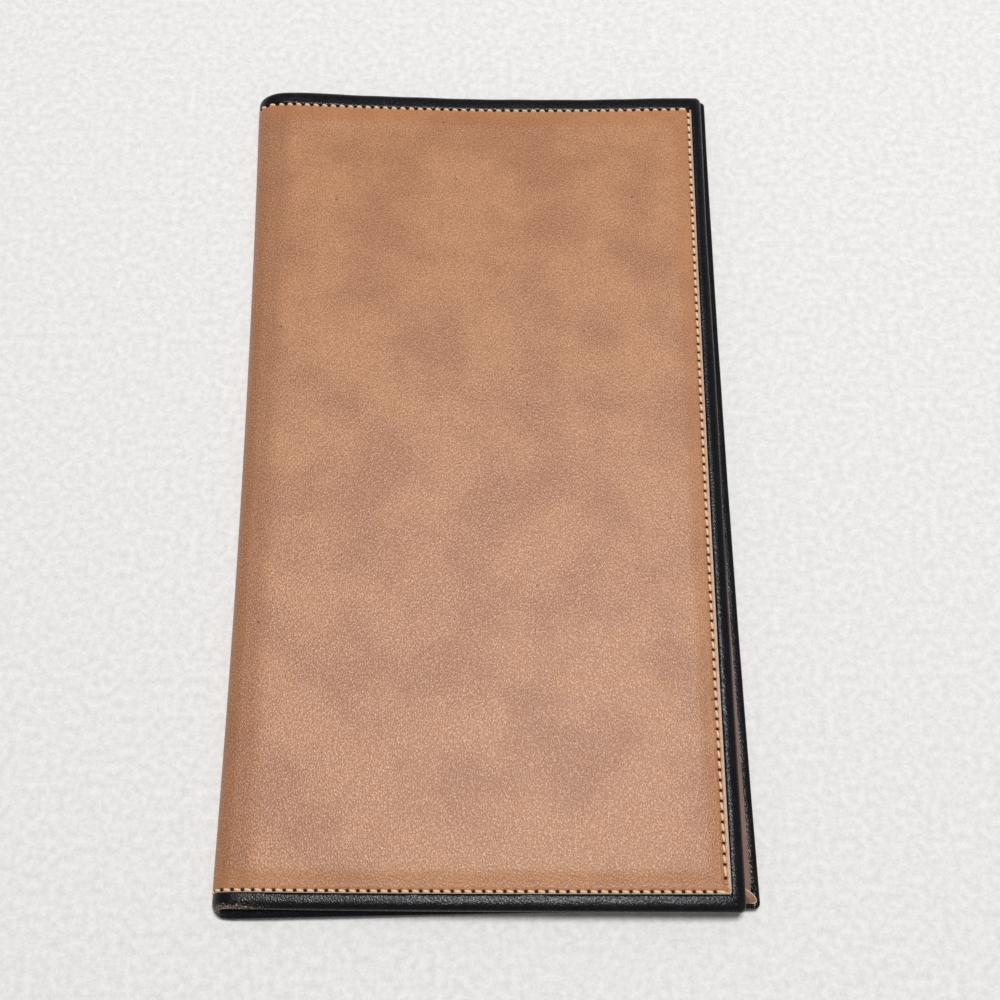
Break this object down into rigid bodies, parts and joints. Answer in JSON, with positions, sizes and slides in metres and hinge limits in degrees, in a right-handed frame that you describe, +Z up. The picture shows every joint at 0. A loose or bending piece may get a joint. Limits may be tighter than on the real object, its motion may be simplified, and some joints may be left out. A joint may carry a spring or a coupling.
{
  "type": "travel document holder",
  "caption": "Folding leather holder for travel documents, closed, with sewn outer leather, turned edges, a soft fold, a ticket pocket, a passport pocket and card slots.",
  "frame": {"origin": "on the flat of the back cover's outer face, which it lies on, midway between the fold's centre line and the free edge, and midway along the fold", "axes": "+X from the fold to the free edges, +Y along the fold, +Z up from the back cover to the front cover"},
  "size_m": [0.1302, 0.2294, 0.0088],
  "materials": {
    "outer_leather": "smooth tan full-grain leather, satin, with darker marks and fine grain",
    "base_leather": "black leather, satin, with turned and rounded edges",
    "panel_leather": "brown lining leather, matt",
    "pocket_leather": "tan pocket leather with cut edges",
    "padding": "thin soft interlining",
    "board": "pressed fibre board",
    "thread": "cream twisted sewing thread"
  },
  "bodies": {
    "back_cover": {"back_outer_leather": "outer_leather", "back_padding": "padding", "back_base_leather": "base_leather", "back_stiffener": "board", "back_stitching": "thread", "back_ticket_panel": "panel_leather", "back_slant_pocket": "pocket_leather"},
    "fold_strip_1": {"fold_outer_leather_1": "outer_leather", "fold_padding_1": "padding", "fold_base_leather_1": "base_leather"},
    "fold_strip_2": {"fold_outer_leather_2": "outer_leather", "fold_padding_2": "padding", "fold_base_leather_2": "base_leather"},
    "front_cover": {"front_outer_leather": "outer_leather", "front_padding": "padding", "front_base_leather": "base_leather", "front_stiffener": "board", "front_stitching": "thread", "front_inner_panel": "panel_leather", "passport_pocket": "pocket_leather", "card_slot_upper": "panel_leather", "card_slot_lower": "panel_leather"}
  },
  "joints": [
    {"name": "cover_opening", "type": "hinge", "parent": "back_cover", "child": "fold_strip_1", "pos_m": [-0.06514, 0, 0], "axis": [0, -1, 0], "range_deg": [0, 60]},
    {"name": "fold_bend_2", "type": "hinge", "parent": "fold_strip_1", "child": "fold_strip_2", "pos_m": [-0.06768, 0, 0.0044], "axis": [0, -1, 0], "range_deg": [0, 60]},
    {"name": "fold_bend_3", "type": "hinge", "parent": "fold_strip_2", "child": "front_cover", "pos_m": [-0.06514, 0, 0.0088], "axis": [0, -1, 0], "range_deg": [0, 60]}
  ],
  "couplings": [
    {"joint": "fold_bend_2", "follows": "cover_opening", "ratio": 1},
    {"joint": "fold_bend_3", "follows": "cover_opening", "ratio": 1}
  ]
}
